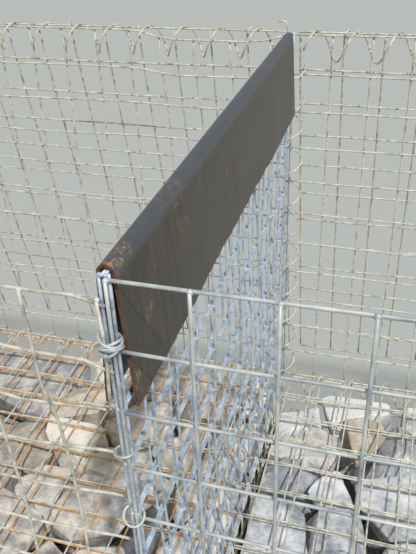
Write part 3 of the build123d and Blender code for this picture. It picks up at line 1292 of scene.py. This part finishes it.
    def break_edges(self, form: bmesh.types.BMesh) -> None:
        """Knocks the arrises off and roughens the faces.

        Args:
            form: the stone, which changes.
        """
        bmesh.ops.remove_doubles(form, verts=form.verts, dist=self.merge)
        bmesh.ops.dissolve_degenerate(form, dist=self.sliver, edges=form.edges)
        bmesh.ops.bevel(form, geom=form.edges[:], offset=self.draw.uniform(*self.arris_mm) * MM,
                        segments=1, profile=self.arris_round, affect="EDGES", clamp_overlap=True)
        long_edges = [edge for edge in form.edges if edge.calc_length() > self.long_edge]
        bmesh.ops.subdivide_edges(form, edges=long_edges, cuts=2, use_grid_fill=True)
        bmesh.ops.triangulate(form, faces=form.faces[:])
        form.normal_update()
        for vert in form.verts:
            fine = noise.fractal(vert.co * self.fine_rate, 0.8, 2.0, 4)
            coarse = noise.noise(vert.co * self.coarse_rate)
            vert.co += vert.normal * (fine * self.fine_mm + coarse * self.coarse_mm - self.worn_mm) * MM

    def warmth(self, middle: np.ndarray) -> float:
        """How much tan dust a stone carries.

        Args:
            middle: of the stone.

        Returns:
            A share, more than one on the tan stone.
        """
        on_top = self.high[2] - middle[2] < self.spacing
        if on_top and any(
                stone.tan and hypot(middle[0] - stone.x, middle[1] - stone.y) < self.tan_reach
                for stone in self.placed):
            return self.tan_warmth
        return float(max(0.0, self.draw.normal(*self.dust_spread)))

    def build(self, finishes: Finishes) -> bpy.types.Object:
        """Carves every stone that can be seen and joins them, each with its tone and warmth.

        Args:
            finishes: where the material comes from.

        Returns:
            The piece.
        """
        hidden = self.seen_depth * self.spacing
        whole = bmesh.new()
        tone_layer = whole.verts.layers.float.new("stone_tone")
        warm_layer = whole.verts.layers.float.new("stone_warm")
        for at, middle in enumerate(self.middles):
            if np.all(middle - self.low > hidden) and np.all(self.high - middle > hidden):
                continue
            form = self.carve(at)
            if form is None:
                continue
            self.break_edges(form)
            tone, warm = float(self.draw.normal(*self.tone_spread)), self.warmth(middle)
            fresh = [whole.verts.new(vert.co) for vert in form.verts]
            for vert in fresh:
                vert[tone_layer], vert[warm_layer] = tone, warm
            for face in form.faces:
                whole.faces.new([fresh[vert.index] for vert in face.verts])
            form.free()
        data = bpy.data.meshes.new(f"{self.node}_stones")
        whole.to_mesh(data)
        whole.free()
        piece = new_object(f"{self.node}_stones", data, finishes.get(self.finish))
        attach(piece, "wall")
        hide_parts(self.node)
        return piece


Piece = WireSheet | CoilSet | CrimpedRings | FillingGuard | StoneCell


@dataclass
class Basket:
    """All the sheets and level coils of the two stacked baskets on one side of the party line."""

    side: str
    clips: tuple[TopClip, ...]
    hook: tuple[Point, ...] = ()
    front_bow: tuple[Bow, ...] = ()
    front_slip: float = 0.0
    front_ease: float = MESH
    front_free: float | None = None
    crushed: Crush = Crush()

    def shift(self) -> float:
        """How far the back sheets' grid stands from their edge wire."""
        return LEFT_BACK_SHIFT if self.side == "left" else 0.0

    def sheets(self) -> list[WireSheet]:
        """Lists the sheets.

        Returns:
            Every sheet of both baskets on this side.
        """
        side, shift = self.side, self.shift()
        left = side == "left"
        floor_finish = WIRE_RUSTED if left else ZINC_CREAM
        front_finish = ZINC_CREAM if left else ZINC_FRONT
        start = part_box(f"upper_back_{side}")[0][0] + HALF
        party_out = 1.0 if left else -1.0
        return [
            WireSheet(f"lower_base_{side}", Facing.LEVEL, ZINC_CREAM, seed=11, layer=0.0, sway=0.0),
            WireSheet(f"lower_front_{side}", Facing.ALONG, ZINC_CREAM, seed=12, sway=2.0 * MM),
            WireSheet(f"lower_back_{side}", Facing.ALONG, ZINC_CREAM, seed=13, outer=1.0,
                      grid_across=shift),
            WireSheet(f"lower_end_{side}", Facing.ACROSS, ZINC_CREAM, seed=14, outer=-party_out,
                      grid_across=-LAYER),
            WireSheet(f"lower_party_{side}", Facing.ACROSS, ZINC_CREAM, seed=15, outer=-party_out,
                      grid_across=-LAYER),
            WireSheet(f"lower_lid_{side}", Facing.LEVEL, floor_finish, seed=16, outer=1.0,
                      grid_across=LID_SHIFT, sway=2.0 * MM),
            WireSheet(f"upper_base_{side}", Facing.LEVEL, ZINC_CREAM, seed=17, sway=2.0 * MM),
            WireSheet(f"upper_front_{side}", Facing.ALONG, front_finish, seed=18, bows=self.front_bow,
                      slip=self.front_slip, grid_across=MESH - self.front_slip, open_top=True,
                      edge_ease=self.front_ease, free_below=self.front_free,
                      gathered=0.8 * self.front_slip, sides=8),
            WireSheet(f"upper_back_{side}", Facing.ALONG, ZINC_CREAM, seed=19, outer=1.0,
                      grid_across=shift, crushed=self.crushed, sway=3.0 * MM),
            WireSheet(f"upper_end_{side}", Facing.ACROSS, ZINC_BRIGHT, seed=20, outer=-party_out,
                      grid_across=-LAYER, open_top=True),
            WireSheet(f"upper_party_{side}", Facing.ACROSS, ZINC_BRIGHT, seed=21, outer=-party_out,
                      grid_across=-LAYER, grid_up=PARTY_RISE),
            WireSheet(f"upper_diaphragm_{side}", Facing.ACROSS, ZINC_BRIGHT, seed=22, outer=party_out,
                      grid_across=-LAYER, open_top=True),
            HangingLid(f"upper_lid_{side}", Facing.ALONG, ZINC_CREAM, body=f"lid_{side}", seed=23,
                       outer=1.0, grid_across=start + shift + LID_SHIFT, joint=f"lid_{side}_hinge",
                       sway=2.0 * MM),
        ]

    def coils(self) -> list[CoilSet]:
        """Lists the coils along this side's long edges.

        Returns:
            The hinge coil with its fastenings, and the two coils between the courses.
        """
        back_low, back_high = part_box(f"upper_back_{self.side}")
        start, foot = back_low[0] + HALF, back_low[2] + HALF
        low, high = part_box(f"hinge_coil_{self.side}")
        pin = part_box(f"upper_lid_{self.side}")[1][2] - HALF
        reach = COIL_RADIUS - WIRE - HINGE_CLEAR
        drop = sqrt(reach ** 2 - HINGE_OFFSET ** 2)
        angle = atan2(drop, HINGE_OFFSET)
        touch = start + self.shift() + PAST_UPRIGHT + MESH * (3 * pi / 2 - angle) / tau
        hinge = self.level_coil(low[0], high[0], (low[1] + high[1]) / 2, pin - drop, angle, touch, 31)
        hinge.wander, hinge.slack = HINGE_WANDER, 0.0
        loose = [clip.path(back_high[1], back_high[2]) for clip in self.clips]
        if self.hook:
            loose.append(smooth_path(self.hook))
        low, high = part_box(f"course_coils_{self.side}")
        middle = foot + WIRE + COURSE_SEAT - COIL_RADIUS
        reach = (high[2] - low[2]) / 2
        course = [self.level_coil(low[0], high[0], y, middle, pi / 2, start + COURSE_PHASE, seed)
                  for y, seed in ((low[1] + reach, 33), (high[1] - reach, 34))]
        return [CoilSet(f"hinge_coil_{self.side}", [hinge], loose),
                CoilSet(f"course_coils_{self.side}", course)]

    def level_coil(self, first: float, last: float, y: float, z: float, angle: float, touch: float,
                   seed: int) -> LacingCoil:
        """Coil along the wall, whose wire passes the angle, from +Y up, at touch."""
        return LacingCoil((0, y, z), (1, 0, 0), (0, cos(angle), sin(angle)), touch,
                          first + HALF, last - HALF, True, seed)


class GabionWall:
    """The whole wall."""

    def __init__(self) -> None:
        """Sets out the baskets and the cells of stone."""
        self.finishes = Finishes()
        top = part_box("upper_front_right")[1][2] - HALF
        inward = Bow(46 * MM, -0.40, top - 0.42, 0.55, 0.36)
        edge = Bow(18 * MM, -0.017, top - 0.30, 0.09, 0.25)
        outward = Bow(-4 * MM, 0.5, top - 0.3, 0.5, 0.3)
        guard_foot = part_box("filling_guard")[0][2]
        self.baskets = [
            Basket("left", (TopClip(-0.472, -0.3), TopClip(-0.084, 0.45)), HOOK,
                   front_bow=(inward, edge), front_slip=FRONT_SLIP, front_ease=1.9 * MESH,
                   front_free=guard_foot - 3 * MM, crushed=Crush(-0.325, -0.02, 17 * MM)),
            Basket("right", (TopClip(0.104, 0.35),), front_bow=(outward,)),
        ]
        self.cells = [
            StoneCell("stone_fill_1", 71),
            StoneCell("stone_fill_2", 72, placed=(PlacedStone(-0.70, 0.36, 150 * MM, 0.045),)),
            StoneCell("stone_fill_3", 73, STONE_GREY,
                      (PlacedStone(0.21, 0.31, 55 * MM, -0.012, tan=True),)),
            StoneCell("stone_fill_4", 74, STONE_GREY),
        ]

    def corner_coils(self, course: str, seed: int) -> CoilSet:
        """Makes the upright coils round the back corners of a course.

        Args:
            course: upper or lower.
            seed: first of their random seeds.

        Returns:
            The coils, with the loose part turns of the upper course.
        """
        node = f"{course}_corner_coils"
        low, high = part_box(node)
        left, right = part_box(f"{course}_back_left"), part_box(f"{course}_back_right")
        foot, top = right[0][2] + HALF, right[1][2] - HALF
        back = (low[1] + high[1]) / 2
        corners = [(left[0][0] + HALF, 1, False), (PARTY_LINE, -1, False), (right[1][0] - HALF, -1, True)]
        coils = [LacingCoil((x, back, 0), (0, 0, 1), (toward, 0, 0), foot + CORNER_REST, low[2] + HALF,
                            high[2] - HALF, left_handed, seed + at, wander=2.0 * MM)
                 for at, (x, toward, left_handed) in enumerate(corners)]
        turns = (PartTurn(-76), PartTurn(-140)) if course == "upper" else ()
        return CoilSet(node, coils, [turn.path(back, top) for turn in turns])

    def rings(self, course: str, seed: int) -> CrimpedRings:
        """Makes the crimped rings at the front corners of a course.

        Args:
            course: upper or lower.
            seed: of their random numbers.

        Returns:
            The rings: a stack near the top of each corner, and single ones below it.
        """
        node = f"{course}_front_rings"
        low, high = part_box(node)
        y = (low[1] + high[1]) / 2
        top = high[2] - RING_WIRE / 2
        party_radius = (high[1] - low[1]) / 2 - RING_WIRE / 2
        outer_radius = party_radius - OUTER_RING_LESS
        heights = [top - turn * (RING_WIRE + RING_GAP) for turn in range(RING_STACK)]
        heights += [top + STACK_DROP - drop * MM for drop in RING_DROPS]
        corners = [(low[0] + outer_radius + RING_WIRE / 2, outer_radius), (PARTY_LINE, party_radius),
                   (high[0] - outer_radius - RING_WIRE / 2, outer_radius)]
        return CrimpedRings(node, [((x, y, z), radius) for x, radius in corners for z in heights], seed)

    def pieces(self) -> list[Piece]:
        """Lists every piece.

        Returns:
            The pieces, in the order in which they are built.
        """
        sides = [piece for basket in self.baskets for piece in [*basket.sheets(), *basket.coils()]]
        corners = [self.corner_coils("upper", 41), self.corner_coils("lower", 51),
                   self.rings("upper", 61), self.rings("lower", 62)]
        return [*sides, *corners, FillingGuard(), *self.cells]

    def build(self) -> None:
        """Builds, dresses and reports every piece."""
        for piece in self.pieces():
            made = piece.build(self.finishes)
            LOG.info("%s: %d faces", made.name, len(made.data.polygons))


@dataclass(frozen=True)
class Studio:
    """Plain pale floor, soft light and the camera."""

    floor: str = "ACAFAB"
    floor_reach: float = 60.0
    sky: str = "D8DADC"
    sky_strength: float = 0.62
    key_strength: float = 2.9
    key_angle: float = radians(2.0)
    key_travel: Point = (-0.42, 0.62, -0.95)
    camera_at: Point = (0.2336, -0.9118, 2.0074)
    pitch: float = radians(31.859)
    azimuth: float = radians(-17.288)
    roll: float = radians(-2.359)
    focal_px: float = 692.0
    picture_height_px: float = 554.0
    sensor_mm: float = 36.0
    nearest: float = 0.02

    def build(self) -> None:
        """Sets up the stage."""
        scene = bpy.context.scene
        scene.view_settings.view_transform = "Standard"
        self.lay_floor()
        self.hang_lights(scene)
        self.place_camera(scene)

    def lay_floor(self) -> None:
        """Lays the wide plain floor that the wall stands on."""
        material, tree = new_material("plain_floor")
        shader = add_node(tree, "ShaderNodeBsdfPrincipled",
                          {"Base Color": linear(self.floor), "Roughness": 0.95})
        add_node(tree, "ShaderNodeOutputMaterial", links={"Surface": shader.outputs["BSDF"]})
        data = bpy.data.meshes.new("floor")
        reach = self.floor_reach
        data.from_pydata([(-reach, -reach, 0), (reach, -reach, 0), (reach, reach, 0), (-reach, reach, 0)],
                         [], [(0, 1, 2, 3)])
        floor = new_object("floor", data, material)

    def hang_lights(self, scene: bpy.types.Scene) -> None:
        """Hangs the pale world light and one soft key lamp, front right.

        Args:
            scene: the scene that they light.
        """
        world = bpy.data.worlds.new("studio")
        scene.world = world
        world.use_nodes = True
        background = world.node_tree.nodes["Background"]
        background.inputs["Color"].default_value = linear(self.sky)
        background.inputs["Strength"].default_value = self.sky_strength
        lamp = bpy.data.lights.new("key", "SUN")
        lamp.energy = self.key_strength
        lamp.angle = self.key_angle
        key = bpy.data.objects.new("key", lamp)
        scene.collection.objects.link(key)
        key.rotation_euler = Vector(self.key_travel).to_track_quat("-Z", "Y").to_euler()

    def place_camera(self, scene: bpy.types.Scene) -> None:
        """Puts the camera at the photograph's place, angle and lens.

        Args:
            scene: the scene that it takes.
        """
        forward = Vector((sin(self.azimuth) * cos(self.pitch), cos(self.azimuth) * cos(self.pitch),
                          -sin(self.pitch)))
        level = forward.cross(Vector((0, 0, 1))).normalized()
        upright = level.cross(forward)
        right = level * cos(self.roll) + upright * sin(self.roll)
        up = right.cross(forward)
        turn = Matrix((right, up, -forward)).transposed().to_4x4()
        lens = bpy.data.cameras.new("camera")
        lens.sensor_width = self.sensor_mm
        lens.lens = self.focal_px / self.picture_height_px * self.sensor_mm
        lens.clip_start = self.nearest
        camera = bpy.data.objects.new("camera", lens)
        camera.matrix_world = Matrix.Translation(self.camera_at) @ turn
        scene.collection.objects.link(camera)
        scene.camera = camera


def main() -> None:
    """Builds the stage and the wall."""
    logging.basicConfig(level=logging.INFO, format="%(name)s: %(message)s")
    Studio().build()
    GabionWall().build()


if __name__ == "__main__":
    main()
